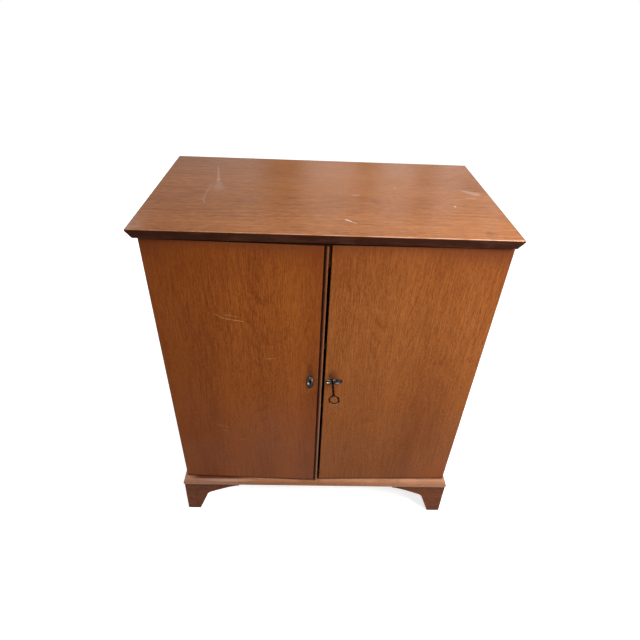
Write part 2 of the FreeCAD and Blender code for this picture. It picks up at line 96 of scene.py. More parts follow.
# Directions
up, down = Vector((0, 0, 1)), Vector((0, 0, -1))
back, forward = Vector((0, 1, 0)), Vector((0, -1, 0))

# Camera as the photograph was taken: metres aside, ahead of the lid and up, then degrees and millimetres
camera_aside = -0.04353
camera_away = 0.84063
camera_height = 1.37462
camera_heading = -2.193
camera_tilt = 53.81
camera_roll = 2.670
camera_lens = 26.10
camera_sensor = 36.0

# Studio: the floor, the fill light and what reflections show
floor_size = 60.0
floor_seen = 0.80
floor_bounce = 0.25
floor_lift = 0.74
floor_roughness = 0.9
world_fill = 0.33
mirror_left = 0.32
mirror_turn = (-0.50, 0.25)
mirror_dip = 0.20
band_start = 0.738
band_rate = 5.14
band_growth = 7.6
band_edge = (0.1, -0.95)
band_top = (0.46, 0.36)

# Lamps: where each one hangs, its size and its power, and what they all point at
lamps = {"Key lamp": ((1.15, -0.92, 1.72), 0.9, 50.0), "Rear lamp": ((-2.5, 2.2, 1.7), 2.0, 40.0)}
lamp_aim = (0.0, 0.0, 0.6)

# Colours of the finishes, as linear red, green and blue
lid_light = (0.410, 0.142, 0.0310)
lid_dark = (0.200, 0.055, 0.009)
lid_warm = (0.440, 0.150, 0.030)
left_light = (0.322, 0.086, 0.013)
left_dark = (0.172, 0.037, 0.0045)
left_shade = (0.150, 0.030, 0.005)
left_bloom = (0.215, 0.078, 0.046)
# Tones of the right door and the sides: paler and less saturated than the left door's, a painted sheen
right_sheen_light = (0.308, 0.097, 0.0225)
right_sheen_dark = (0.178, 0.046, 0.0085)
right_warm = (0.300, 0.066, 0.018)
head_shade = (0.115, 0.027, 0.010)
door_fleck = (0.480, 0.160, 0.036)
# Painted shade towards the foot of the doors and sides
foot_shade_tone = (0.178, 0.061, 0.027)
pore_tone = (0.055, 0.013, 0.003)
edge_stain = (0.046, 0.014, 0.007)
edge_bloom = (0.075, 0.026, 0.015)
scratch_pale = (0.60, 0.29, 0.12)
scratch_white = (0.78, 0.70, 0.65)
arris_tone = (0.62, 0.36, 0.23)
# Grime, and painted shade at the head of the doors and the bead
grime_and_shade_tone = (0.020, 0.008, 0.004)
foot_light = (0.242, 0.062, 0.0160)
foot_dark = (0.066, 0.016, 0.0045)
moulding_light = (0.345, 0.139, 0.061)
moulding_dark = (0.175, 0.058, 0.021)
# Rubbed wear on the moulding's crown, and painted light at its lip and towards its right end
moulding_wear_and_light = (0.52, 0.255, 0.142)
moulding_greyed = (0.36, 0.205, 0.148)
moulding_pale = (0.46, 0.27, 0.20)
bead_light = (0.180, 0.060, 0.022)
bead_dark = (0.120, 0.037, 0.013)
# Painted highlight along the bead's free side
bead_highlight = (0.285, 0.155, 0.095)
# Painted shade in gaps and recesses: under the doors, under the moulding and in the bead's quirk
gap_shade_tone = (0.060, 0.011, 0.003)
inside_light = (0.46, 0.25, 0.115)
inside_dark = (0.31, 0.150, 0.060)
ply_light = (0.52, 0.35, 0.19)
ply_dark = (0.37, 0.225, 0.105)
brass_bright = (0.66, 0.47, 0.20)
brass_dull = (0.26, 0.155, 0.062)
# Painted glints on the key plates
bronze_glint_tone = (0.42, 0.40, 0.38)
bronze_dull = (0.034, 0.029, 0.025)
bronze_dark = (0.012, 0.010, 0.009)
steel_bright = (0.44, 0.43, 0.41)
steel_dull = (0.19, 0.18, 0.17)
key_bright = (0.16, 0.085, 0.045)
key_dark = (0.022, 0.014, 0.010)
laminate_tone = (0.030, 0.024, 0.020)
laminate_fleck = (0.075, 0.060, 0.048)
rubber_tone = (0.022, 0.021, 0.020)
rubber_dust = (0.070, 0.066, 0.060)
catch_tone = (0.30, 0.165, 0.075)
catch_shade = (0.20, 0.105, 0.045)


# Small helpers for building node trees
def node(tree, kind, sockets=None, **settings):
    made = tree.nodes.new(kind)
    for name, value in settings.items():
        setattr(made, name, value)
    for name, value in (sockets or {}).items():
        if isinstance(value, bpy.types.NodeSocket):
            tree.links.new(value, made.inputs[name])
        else:
            made.inputs[name].default_value = value
    return made


def first(tree, kind, sockets=None, **settings):
    return node(tree, kind, sockets, **settings).outputs[0]


def maths(tree, operation, *values, clamp=False):
    sockets = dict(enumerate(values))
    return first(tree, "ShaderNodeMath", sockets, operation=operation, use_clamp=clamp)


def vectors(tree, operation, *values):
    made = node(tree, "ShaderNodeVectorMath", dict(enumerate(values)), operation=operation)
    return made.outputs["Value" if operation in ("DOT_PRODUCT", "DISTANCE") else "Vector"]


def scaled(tree, vector, factor):
    sockets = {"Vector": vector, "Scale": factor}
    return node(tree, "ShaderNodeVectorMath", sockets, operation="SCALE").outputs["Vector"]


def split(tree, vector):
    return node(tree, "ShaderNodeSeparateXYZ", {0: vector}).outputs


def combine(tree, x, y, z):
    return first(tree, "ShaderNodeCombineXYZ", {0: x, 1: y, 2: z})


# Noise, with one rate for all axes or one for each
def noise(tree, vector, rate=1.0, detail=3.0, rough=0.5, seed=0.0):
    rates = rate if isinstance(rate, tuple) else (rate,) * 3
    place = vectors(tree, "MULTIPLY", vector, rates)
    sockets = {"Vector": place, "W": seed, "Scale": 1.0, "Detail": detail, "Roughness": rough}
    return first(tree, "ShaderNodeTexNoise", sockets, noise_dimensions="4D")


def ramp(tree, value, start, end):
    sockets = {0: value, 1: start, 2: end}
    return first(tree, "ShaderNodeMapRange", sockets, interpolation_type="SMOOTHSTEP")


def mix_values(tree, mask, under, over):
    return first(tree, "ShaderNodeMix", {0: mask, 2: under, 3: over})


def mix_colours(tree, mask, under, over):
    tones = [(*tone, 1.0) if isinstance(tone, tuple) else tone for tone in (under, over)]
    sockets = {0: mask, 6: tones[0], 7: tones[1]}
    return node(tree, "ShaderNodeMix", sockets, data_type="RGBA").outputs[2]


def shader_group(name, outputs, **inputs):
    tree = bpy.data.node_groups.new(name, "ShaderNodeTree")
    for label, start in {"Vector": (0, 0, 0), **inputs}.items():
        label = label.replace("_", " ")
        kind = "NodeSocketVector" if isinstance(start, tuple) else "NodeSocketFloat"
        socket = tree.interface.new_socket(label, in_out="INPUT", socket_type=kind)
        socket.default_value = start
    for label in outputs:
        tree.interface.new_socket(label, in_out="OUTPUT", socket_type="NodeSocketFloat")
    given = tree.nodes.new("NodeGroupInput").outputs
    return tree, given, tree.nodes.new("NodeGroupOutput").inputs


# Wood figure: rings cut at a slant give cathedral arches, with streaks, dashes and pores over them.
# Rates count features in a metre across, through and along the grain
wander_reach, jitter_turns, ring_line = 0.055, 1.1, 0.30
tone_start, ring_share, streak_share, dash_share = 0.04, 0.06, 0.38, 0.46
fade_range, tone_range, pore_range = (0.40, 0.66), (0.36, 0.64), (0.60, 0.74)


def build_wood_figure():
    inputs = dict(Heart_across=0.0, Heart_along=0.0, Heart_depth=0.11, Heart_slope=0.29)
    inputs.update(Ring_width=0.014, Grain=(1, 1, 1), Clouds=0.36, Seed=0.0)
    tree, given, result = shader_group("Wood figure", ["Tone", "Pores", "Fibre"], **inputs)
    vector, seed = given["Vector"], given["Seed"]
    across, _, along = split(tree, vector)
    wander = noise(tree, vector, rate=(7.0, 7.0, 2.2), seed=seed)
    wander = maths(tree, "MULTIPLY_ADD", wander, wander_reach, -wander_reach / 2)
    aside = maths(tree, "ADD", maths(tree, "SUBTRACT", across, given["Heart across"]), wander)
    run = maths(tree, "ABSOLUTE", maths(tree, "SUBTRACT", along, given["Heart along"]))
    fall = maths(tree, "MULTIPLY", run, given["Heart slope"])
    depth = maths(tree, "MAXIMUM", maths(tree, "SUBTRACT", given["Heart depth"], fall), 0.0)
    square = maths(tree, "MULTIPLY_ADD", aside, aside, maths(tree, "MULTIPLY", depth, depth))
    turns = maths(tree, "DIVIDE", maths(tree, "SQRT", square), given["Ring width"])
    jitter = noise(tree, vector, rate=(30.0, 30.0, 3.0), detail=2.0, seed=seed)
    turns = maths(tree, "MULTIPLY_ADD", jitter, jitter_turns, turns)
    line = ramp(tree, maths(tree, "PINGPONG", turns, 0.5), 0.0, ring_line)
    fade = ramp(tree, noise(tree, vector, rate=(18.0, 18.0, 4.0), seed=seed), *fade_range)
    rings = maths(tree, "MULTIPLY_ADD", fade, maths(tree, "SUBTRACT", line, 1.0), 1.0)
    broad = noise(tree, vector, rate=(10.0, 10.0, 1.3), detail=2.0, seed=seed)
    grain = vectors(tree, "MULTIPLY", vector, given["Grain"])
    streak = noise(tree, grain, rate=(420.0, 420.0, 14.0), detail=2.0, rough=0.6, seed=seed)
    dash = noise(tree, grain, rate=(640.0, 640.0, 110.0), detail=1.0, rough=0.6, seed=seed)
    fibre = noise(tree, vector, rate=(1500.0, 1500.0, 30.0), detail=2.0, seed=seed)
    fleck = noise(tree, vector, rate=(1000.0, 1000.0, 60.0), detail=1.0, seed=seed)
    clouds = maths(tree, "MULTIPLY", maths(tree, "SUBTRACT", broad, 0.5), given["Clouds"])
    tone = maths(tree, "ADD", clouds, tone_start)
    for part, share in ((rings, ring_share), (streak, streak_share), (dash, dash_share)):
        tone = maths(tree, "MULTIPLY_ADD", part, share, tone)
    tree.links.new(ramp(tree, tone, *tone_range), result["Tone"])
    tree.links.new(ramp(tree, fleck, *pore_range), result["Pores"])
    tree.links.new(fibre, result["Fibre"])
    return tree


# Distance from a point on a boxy piece to the nearest edge of its box
def build_edge_distance():
    corners = dict(Low=(0, 0, 0), High=(1, 1, 1))
    tree, given, result = shader_group("Edge distance", ["Distance"], **corners)
    from_low = vectors(tree, "SUBTRACT", given["Vector"], given["Low"])
    from_high = vectors(tree, "SUBTRACT", given["High"], given["Vector"])
    x, y, z = split(tree, vectors(tree, "MINIMUM", from_low, from_high))
    nearest = maths(tree, "MINIMUM", x, y)
    second = maths(tree, "MINIMUM", maths(tree, "MAXIMUM", x, y), z)
    tree.links.new(maths(tree, "MAXIMUM", nearest, second), result["Distance"])
    return tree


# One mark from a start to an end point, with its own width at each end, unsteady and broken or soft
shake_rate, break_rate, break_range = 55.0, 220.0, (0.30, 0.52)


def build_scratch():
    inputs = dict(Start=(0, 0, 0), End=(1, 0, 0), Start_width=0.001, End_width=0.001)
    inputs.update(Wobble=0.003, Breaks=1.0)
    tree, given, result = shader_group("Scratch", ["Mask"], **inputs)
    sockets = {"Vector": given["Vector"], "Scale": shake_rate}
    shake = node(tree, "ShaderNodeTexNoise", sockets).outputs["Color"]
    shake = vectors(tree, "SUBTRACT", shake, (0.5, 0.5, 0.5))
    point = vectors(tree, "ADD", given["Vector"], scaled(tree, shake, given["Wobble"]))
    way = vectors(tree, "SUBTRACT", given["End"], given["Start"])
    off = vectors(tree, "SUBTRACT", point, given["Start"])
    reach = vectors(tree, "DOT_PRODUCT", way, way)
    share = maths(tree, "DIVIDE", vectors(tree, "DOT_PRODUCT", off, way), reach, clamp=True)
    apart = vectors(tree, "DISTANCE", off, scaled(tree, way, share))
    width = mix_values(tree, share, given["Start width"], given["End width"])
    mask = ramp(tree, maths(tree, "DIVIDE", apart, width), 1.0, 0.0)
    broken = ramp(tree, noise(tree, given["Vector"], break_rate, detail=2.0), *break_range)
    kept = mix_values(tree, given["Breaks"], 1.0, broken)
    tree.links.new(maths(tree, "MULTIPLY", mask, kept), result["Mask"])
    return tree


# Tarnish in soft patches and fine scuffs, for metal fittings
tarnish_range, scuff_range = (0.38, 0.66), (0.58, 0.72)


def build_metal_wear():
    tree, given, result = shader_group("Metal wear", ["Tarnish", "Scuffs"], Patch_size=0.01)
    place = scaled(tree, given["Vector"], maths(tree, "DIVIDE", 1.0, given["Patch size"]))
    patches = noise(tree, place, detail=4.0, rough=0.6)
    lines = noise(tree, place, rate=(2.0, 24.0, 9.0), detail=2.0, seed=3.0)
    tree.links.new(ramp(tree, patches, *tarnish_range), result["Tarnish"])
    tree.links.new(ramp(tree, lines, *scuff_range), result["Scuffs"])
    return tree


wood_figure = build_wood_figure()
edge_distance = build_edge_distance()
scratch = build_scratch()
metal_wear = build_metal_wear()


# The turn that shuts a door from where it stands ajar, and its pivot
def shutting(joint):
    swing = joints[joint]
    turn = Matrix.Rotation(math.radians(swing["range_deg"][0]), 3, Vector(swing["axis"]))
    return turn, Vector(swing["pos_m"])


# A finish is one material, built up in layers of colour and roughness
fibre_gloss = 0.07
dull_range = (0.40, 0.65)
edge_core = 0.25
bump_strength = 0.4


class Finish:
    def __init__(self, name, specular=0.25, metallic=0.0):
        self.material = bpy.data.materials.new(name)
        self.material.use_nodes = True
        self.tree = self.material.node_tree
        self.shader = self.tree.nodes["Principled BSDF"]
        self.shader.inputs["Specular IOR Level"].default_value = specular
        self.shader.inputs["Metallic"].default_value = metallic
        self.place = node(self.tree, "ShaderNodeTexCoord").outputs["Object"]
        self.relief = None

    # Counts places as they are when the door is shut
    def shut(self, joint):
        turn, pivot = shutting(joint)
        sockets = {"Vector": self.place, "Location": pivot - turn @ pivot, "Rotation": turn.to_euler()}
        self.place = first(self.tree, "ShaderNodeMapping", sockets)

    def group(self, tree, **sockets):
        named = {label.replace("_", " "): value for label, value in sockets.items()}
        sockets = {"Vector": self.place, **named}
        return node(self.tree, "ShaderNodeGroup", sockets, node_tree=tree).outputs

    def spotted(self, rate, low, high, seed=0.0, detail=3.0):
        patches = noise(self.tree, self.place, rate, detail=detail, seed=seed)
        return ramp(self.tree, patches, low, high)

    def axes(self):
        return dict(zip("xyz", split(self.tree, self.place)))

    def both(self, one, other):
        return maths(self.tree, "MULTIPLY", one, other)

    # A mask that grows from 0 to 1 between two places along each axis that is named
    def growing(self, **places):
        axes = self.axes()
        masks = [ramp(self.tree, axes[axis], *ends) for axis, ends in places.items()]
        return functools.reduce(self.both, masks)

    def tones(self, mask, under, over):
        self.colour = mix_colours(self.tree, mask, under, over)

    def gloss(self, mask, under, over):
        self.roughness = mix_values(self.tree, mask, under, over)

    def lay(self, mask, colour, strength):
        self.tones(self.both(mask, strength), self.colour, colour)

    def shade(self, colour, strength, **places):
        self.lay(self.growing(**places), colour, strength)

    # Patches of another roughness
    def dull(self, roughness, rate, seed):
        patches = self.spotted(rate, *dull_range, seed=seed)
        self.gloss(patches, self.roughness, roughness)

    # Grain order names the axes across, through and along the grain
    def wood(self, order, light, dark, roughness, seed, pores=0.55, **figure):
        axes = self.axes()
        flat = self.place
        self.place = combine(self.tree, *[axes[axis] for axis in order])
        tone, pore, fibre = self.group(wood_figure, Seed=seed, **figure)
        self.place = flat
        self.tones(tone, dark, light)
        self.lay(pore, pore_tone, pores)
        self.gloss(fibre, roughness - fibre_gloss, roughness + fibre_gloss)
        self.relief = maths(self.tree, "MULTIPLY_ADD", pore, -1.0, fibre)

    def near_edges(self, low, high, width):
        distance = self.group(edge_distance, Low=low, High=high)[0]
        return ramp(self.tree, distance, width, width * edge_core)

    # A mark runs between two points, with a width at each end
    def mark(self, ends, widths, colour, strength, breaks=1.0):
        sockets = {"Start": ends[0], "End": ends[1], "Start_width": widths[0], "End_width": widths[1]}
        self.lay(self.group(scratch, Breaks=breaks, **sockets)[0], colour, strength)

    # A soft round or oval spot about a point, with its own reach along each axis
    def spot(self, centre, reach, colour, strength):
        off = vectors(self.tree, "SUBTRACT", self.place, centre)
        off = vectors(self.tree, "DIVIDE", off, reach)
        distance = vectors(self.tree, "DISTANCE", off, (0, 0, 0))
        self.lay(ramp(self.tree, distance, 1.0, 0.0), colour, strength)

    def done(self, relief_depth=0.0001):
        self.tree.links.new(self.colour, self.shader.inputs["Base Color"])
        self.tree.links.new(self.roughness, self.shader.inputs["Roughness"])
        if self.relief is not None:
            sockets = {"Height": self.relief, "Strength": bump_strength, "Distance": relief_depth}
            bump = first(self.tree, "ShaderNodeBump", sockets)
            self.tree.links.new(bump, self.shader.inputs["Normal"])
        return self.material


# Soft spots on the lid: a place across and back from its front edge, a reach, a colour and a strength
lid_spots = [
    ((0.060, 0.360), (0.340, 0.260, 0.10), lid_warm, 0.50),
    ((-0.081, 0.186), (0.034, 0.022, 0.01), grime_and_shade_tone, 0.20),
    ((-0.081, 0.186), (0.016, 0.007, 0.01), grime_and_shade_tone, 0.22),
    ((0.329, 0.029), (0.016, 0.014, 0.01), grime_and_shade_tone, 0.42),
]

# Marks of use on the lid: two ends across and back from its front edge, their widths, strength, breaks
lid_marks = [
    ((-0.284, 0.388), (-0.266, 0.290), 0.0030, 0.0060, 0.16, 0.2),
    ((-0.268, 0.297), (-0.257, 0.236), 0.0050, 0.0240, 0.10, 0.2),
    ((-0.318, 0.379), (-0.291, 0.380), 0.0040, 0.0040, 0.10, 0.6),
    ((-0.277, 0.263), (-0.281, 0.214), 0.0070, 0.0036, 0.07, 0.3),
    ((-0.281, 0.214), (-0.279, 0.161), 0.0032, 0.0032, 0.11, 0.3),
    ((-0.279, 0.161), (-0.271, 0.137), 0.0032, 0.0024, 0.10, 0.3),
    ((0.059, 0.218), (0.075, 0.218), 0.0032, 0.0026, 0.30, 0.5),
    ((0.335, 0.268), (0.364, 0.249), 0.0080, 0.0190, 0.20, 0.3),
    ((0.332, 0.221), (0.353, 0.220), 0.0060, 0.0060, 0.15, 0.5),
    ((0.292, 0.166), (0.293, 0.168), 0.0036, 0.0036, 0.60, 0.0),
    ((0.168, 0.272), (0.169, 0.273), 0.0040, 0.0040, 0.25, 0.0),
    ((0.037, 0.076), (0.047, 0.068), 0.0040, 0.0030, 0.80, 0.4),
    ((0.047, 0.068), (0.058, 0.058), 0.0020, 0.0012, 0.60, 0.5),
]


def on_lid(across, inward):
    return Vector((across, lid_front + inward, lid_top))


# Lid: figure along its length, soft dark knot and stain, pale marks and a rubbed front arris
def lid_finish():
    finish = Finish("Lid veneer", specular=0.27)
    figure = dict(Heart_across=lid_front + 0.20, Heart_along=0.06, Heart_depth=0.09, Heart_slope=0.10)
    figure.update(Ring_width=0.016, Grain=(1.1, 1.1, 0.5), Clouds=0.14)
    finish.wood("yzx", lid_light, lid_dark, roughness=0.17, seed=2.0, **figure)
    for at, reach, tone, strength in lid_spots:
        finish.spot(on_lid(*at), reach, tone, strength)
    for start, end, start_width, end_width, strength, breaks in lid_marks:
        ends = (on_lid(*start), on_lid(*end))
        finish.mark(ends, (start_width, end_width), scratch_white, strength, breaks)
    wide = Vector((1, 0, 0))
    rim = finish.near_edges(lid_low - back - up, lid_high, width=0.0042)
    finish.lay(rim, edge_bloom, strength=0.75)
    arris = finish.near_edges(lid_low - wide - up, lid_high + wide + back, width=0.0028)
    arris = finish.both(arris, finish.spotted(rate=25.0, low=0.30, high=0.55, seed=5.0))
    share = mix_values(finish.tree, finish.growing(x=(-0.35, 0.25)), under=0.35, over=1.0)
    finish.lay(finish.both(arris, share), arris_tone, strength=0.66)
    finish.shade(lid_dark, strength=0.40, z=(lid_under + 0.0012, lid_under + 0.0004))
    finish.dull(roughness=0.24, rate=9.0, seed=7.0)
    return finish.done()


# Edge of the lid below its arris: a dark stain with a faint bloom
def lid_edge_finish():
    finish = Finish("Lid edge stain", specular=0.03)
    bloom = finish.spotted(rate=(18.0, 18.0, 90.0), low=0.45, high=0.66)
    finish.tones(bloom, edge_stain, edge_bloom)
    finish.gloss(finish.spotted(rate=40.0, low=0.4, high=0.6), under=0.55, over=0.70)
    return finish.done()


# Head of the doors painted dark as shade under the lid, and the edge, tone and strength of their crisp
# grain
head_line = (door_head - 0.0014, door_head - 0.0004)
crisp_tones = ((0.66, pore_tone, 0.21), (0.34, door_fleck, 0.24))

# Painted shade on the doors, and a darker meeting edge: where each one grows, its colour and its
# strength
head_band = (door_head - 0.060, door_head - 0.012)
corner_band = (door_head - 0.060, door_head - 0.020)
door_shades = [
    (dict(z=(base_top + 0.36, base_top)), foot_shade_tone, 0.24),
    (dict(z=(door_head - 0.160, door_head - 0.010)), left_shade, 0.30),
    (dict(z=(door_head - 0.028, door_head - 0.003)), head_shade, 0.42),
]
left_shades = door_shades + [
    (dict(x=(free_left - 0.24, free_left - 0.01), z=head_band), head_shade, 0.36),
    (dict(x=(-0.16, -side_edge)), left_shade, 0.40),
    (dict(x=(0.10 - side_edge, -side_edge), z=corner_band), head_shade, 0.44),
    (dict(x=(-0.085, free_left)), left_shade, 0.40),
]
right_shades = door_shades + [
    (dict(x=(side_edge - 0.24, side_edge - 0.01), z=head_band), head_shade, 0.58),
]

# Soft spots on the doors: across, above the floor, reach across, in and up, colour and strength
left_spots = [
    (-0.100, 0.290, 0.220, 0.05, 0.300, left_bloom, 0.32),
    (-0.115, 0.334, 0.018, 0.02, 0.020, grime_and_shade_tone, 0.16),
    (-0.028, key_height + 0.018, 0.018, 0.02, 0.030, grime_and_shade_tone, 0.40),
    (-0.028, key_height, 0.024, 0.02, 0.036, grime_and_shade_tone, 0.35),
    (-0.029, key_height + 0.036, 0.012, 0.02, 0.032, grime_and_shade_tone, 0.40),
]
right_spots = [
    (side_edge, door_foot, 0.150, 0.05, 0.160, right_warm, 0.50),
    (0.028, key_height + 0.018, 0.018, 0.02, 0.030, grime_and_shade_tone, 0.40),
    (0.028, key_height, 0.024, 0.02, 0.036, grime_and_shade_tone, 0.35),
    (0.021, key_height + 0.018, 0.008, 0.02, 0.018, grime_and_shade_tone, 0.55),
]

# Marks on the doors: two ends across and above the floor, a width and a strength
left_marks = [
    ((-0.232, 0.748), (-0.187, 0.740), 0.0020, 0.70),
    ((-0.249, 0.759), (-0.232, 0.748), 0.0014, 0.60),
    ((-0.226, 0.757), (-0.196, 0.754), 0.0016, 0.45),
    ((-0.138, 0.630), (-0.111, 0.633), 0.0018, 0.55),
    ((-0.274, 0.385), (-0.247, 0.378), 0.0015, 0.60),
    ((-0.264, 0.365), (-0.251, 0.361), 0.0012, 0.50),
    ((-0.220, 0.328), (-0.203, 0.329), 0.0012, 0.45),
]
right_marks = [
    ((0.026, 0.471), (0.060, 0.434), 0.0022, 0.25),
    ((0.034, 0.478), (0.052, 0.452), 0.0018, 0.20),
]


# Doors: book-matched figure, crisper above the key, painted shade at foot and head, dark about the key
# plate
def door_finish(name, joint, side, tones, box, shades, spots, marks):
    finish = Finish(name, specular=0.08)
    finish.shut(joint)
    figure = dict(Heart_across=side * 0.130, Heart_along=0.58)
    finish.wood("xyz", *tones, roughness=0.46, seed=4.0 + side, **figure)
    crisp = finish.growing(z=(key_height - 0.20, key_height + 0.15))
    for edge, tone, strength in crisp_tones:
        grain = finish.spotted(rate=(700.0, 700.0, 34.0), low=0.50, high=edge, seed=6.0, detail=1.0)
        finish.lay(finish.both(crisp, grain), tone, strength)
    # Bands of painted shade, and the darker meeting edge of the left door
    for places, tone, strength in shades:
        finish.shade(tone, strength, **places)
    for across, height, wide, deep, tall, tone, strength in spots:
        finish.spot((across, door_front, height), (wide, deep, tall), tone, strength)
    for start, end, width, strength in marks:
        ends = [Vector((across, door_front, height)) for across, height in (start, end)]
        finish.mark(ends, (width, width), scratch_pale, strength)
    # Painted shade in the gap under the door's foot
    finish.shade(gap_shade_tone, strength=0.90, z=(door_foot + 0.0068, door_foot + 0.0024))
    # Painted shade at the head, for the gap under the lid
    finish.shade(grime_and_shade_tone, strength=0.95, z=head_line)
    worn = finish.spotted(rate=25.0, low=0.35, high=0.62, seed=5.0)
    worn = finish.both(finish.near_edges(*box, width=0.0016), worn)
    finish.lay(worn, grime_and_shade_tone, strength=0.40)
    finish.dull(roughness=0.56, rate=6.0, seed=8.0)
    return finish.done()


# Sides: the same veneer as the doors, with the right door's painted sheen, painted shade towards the
# foot
def side_finish(name, seed):
    finish = Finish(name, specular=0.08)
    figure = dict(Heart_across=0.06, Heart_along=0.50, Heart_depth=0.12)
    finish.wood("yxz", right_sheen_light, right_sheen_dark, roughness=0.47, seed=seed, **figure)
    # Painted shade, darker towards the foot
    finish.shade(foot_shade_tone, strength=0.45, z=(base_top + 0.30, base_top))
    finish.dull(roughness=0.57, rate=6.0, seed=9.0)
    return finish.done()


# Base moulding: rubbed at its crown, with painted light at its lip and towards its right end, greyed at
# its left end, which has a pale patch and a painted shadow under the left door
def moulding_finish(name, order, seed):
    finish = Finish(name, specular=0.12)
    figure = dict(Heart_depth=0.03, Ring_width=0.007)
    finish.wood(order, moulding_light, moulding_dark, roughness=0.42, seed=seed, **figure)
    # Painted light towards the right end
    finish.shade(moulding_wear_and_light, strength=0.42, x=(-0.10, 0.32))
    finish.shade(moulding_greyed, strength=0.35, x=(-0.18, -0.30))
    crown = finish.growing(z=(base_top - 0.013, base_top - 0.004))
    rubbed = finish.spotted(rate=(14.0, 14.0, 30.0), low=0.40, high=0.58, seed=seed)
    finish.lay(finish.both(crown, rubbed), moulding_wear_and_light, strength=0.35)
    # Painted light towards the lip
    finish.shade(moulding_wear_and_light, strength=0.30, z=(base_top - 0.013, base_top - 0.022))
    patch = Vector((-0.262, base_front, base_top - 0.0075))
    finish.spot(patch, (0.105, 0.03, 0.0060), moulding_pale, strength=0.75)
    grime = finish.spotted(rate=(30.0, 30.0, 90.0), low=0.62, high=0.72, seed=seed + 1)
    finish.lay(grime, grime_and_shade_tone, strength=0.35)
    # Painted shadow on the moulding's top under the left door
    stain = finish.both(finish.growing(x=(-0.385, -0.350)), finish.growing(x=(-0.170, -0.250)))
    stain = finish.both(stain, finish.growing(z=(base_top - 0.0048, base_top - 0.0026)))
    finish.lay(stain, gap_shade_tone, strength=0.85)
    return finish.done()


# Feet: dark blotches, a line of painted shadow under the moulding and grime at the toe
def foot_finish(name, order, seed):
    finish = Finish(name, specular=0.08)
    figure = dict(Heart_depth=0.05, Ring_width=0.009)
    finish.wood(order, foot_light, foot_dark, roughness=0.52, seed=seed, **figure)
    blotches = finish.spotted(rate=(45.0, 45.0, 22.0), low=0.52, high=0.70, seed=seed)
    finish.lay(blotches, foot_dark, strength=0.55)
    # Painted shadow under the moulding
    finish.shade(gap_shade_tone, strength=0.45, z=(base_under - 0.0060, base_under - 0.0010))
    grime = finish.spotted(rate=60.0, low=0.35, high=0.55)
    toe = finish.both(finish.growing(z=(0.014, 0.001)), grime)
    finish.lay(toe, grime_and_shade_tone, strength=0.65)
    return finish.done()


# Bead on the meeting edge: brown, a painted highlight along its free side, painted shade in its quirk
# and at its head
def bead_finish():
    finish = Finish("Meeting bead", specular=0.06)
    finish.shut("left_door_swing")
    figure = dict(Heart_depth=0.03, Ring_width=0.006)
    finish.wood("xyz", bead_light, bead_dark, roughness=0.50, seed=11.0, **figure)
    free_side = (bead_right - 0.0046, bead_right - 0.0024)
    # Painted highlight along the free side
    finish.shade(bead_highlight, strength=0.60, x=free_side, z=(door_head, door_foot))
    # Painted shade in the quirk
    finish.shade(gap_shade_tone, strength=0.95, y=(door_front + 0.0014, door_front + 0.0030))
    # Painted shade at the head, for the gap under the lid
    finish.shade(grime_and_shade_tone, strength=0.95, z=head_line)
    return finish.done()


def inside_finish(name, order, seed):
    finish = Finish(name, specular=0.20)
    figure = dict(pores=0.30, Heart_across=0.05, Heart_depth=0.08)
    finish.wood(order, inside_light, inside_dark, roughness=0.55, seed=seed, **figure)
    finish.lay(finish.spotted(rate=8.0, low=0.56, high=0.75, seed=seed), inside_dark, strength=0.40)
    return finish.done()


def ply_finish():
    finish = Finish("Back plywood", specular=0.12)
    figure = dict(pores=0.25, Heart_depth=0.15, Ring_width=0.022)
    finish.wood("xyz", ply_light, ply_dark, roughness=0.68, seed=16.0, **figure)
    finish.lay(finish.spotted(rate=5.0, low=0.54, high=0.74, seed=17.0), ply_dark, strength=0.45)
    return finish.done()


scuff_roughness = 0.22


def metal_finish(name, bright, dull, roughness, patch):
    finish = Finish(name, specular=0.5, metallic=1.0)
    tarnish, scuffs = finish.group(metal_wear, Patch_size=patch)
    finish.tones(tarnish, bright, dull)
    finish.gloss(scuffs, roughness, roughness + scuff_roughness)
    finish.relief = scuffs
    return finish.done(relief_depth=0.00003)


# Painted glints on the key plates: across and up from the middle, reach across and up, and strength
left_glints = [
    (-0.0045, -0.0050, 0.0040, 0.0050, 1.00),
    (0.0050, 0.0075, 0.0030, 0.0110, 0.50),
    (-0.0005, 0.0160, 0.0040, 0.0036, 0.40),
]
right_glints = [
    (-0.0120, 0.0045, 0.0080, 0.0026, 0.50),
    (-0.0110, -0.0035, 0.0080, 0.0026, 0.60),
    (0.0035, 0.0050, 0.0055, 0.0030, 0.60),
    (0.0130, -0.0055, 0.0080, 0.0028, 0.70),
]
glint_depth = 0.01


# Key plates: dark bronze, with painted glints as bright spots
def plate_finish(name, joint, middle, glints):
    finish = Finish(name, specular=0.5, metallic=1.0)
    finish.shut(joint)
    tarnish, scuffs = finish.group(metal_wear, Patch_size=0.004)
    finish.tones(tarnish, bronze_dull, bronze_dark)
    # Painted glints
    for across, rise, wide, tall, strength in glints:
        at = middle + Vector((across, 0, rise))
        finish.spot(at, (wide, glint_depth, tall), bronze_glint_tone, strength)
    finish.gloss(scuffs, under=0.26, over=0.45)
    finish.relief = tarnish
    return finish.done(relief_depth=0.0002)


dust_roughness = 0.12


def flecked_finish(name, tone, fleck, roughness, specular, size):
    finish = Finish(name, specular=specular)
    spots = finish.spotted(rate=1 / size, low=0.52, high=0.66, seed=21.0)
    finish.tones(spots, tone, fleck)
    dust = finish.spotted(rate=40.0, low=0.35, high=0.65, seed=22.0)
    finish.gloss(dust, roughness, roughness + dust_roughness)
    finish.relief = spots
    return finish.done(relief_depth=0.00005)


# One copy of each piece with merged corners, eased edges and round faces shaded smooth
merge_distance = 2e-6
flat_angle = math.radians(0.2)
soft_angle = math.radians(30)


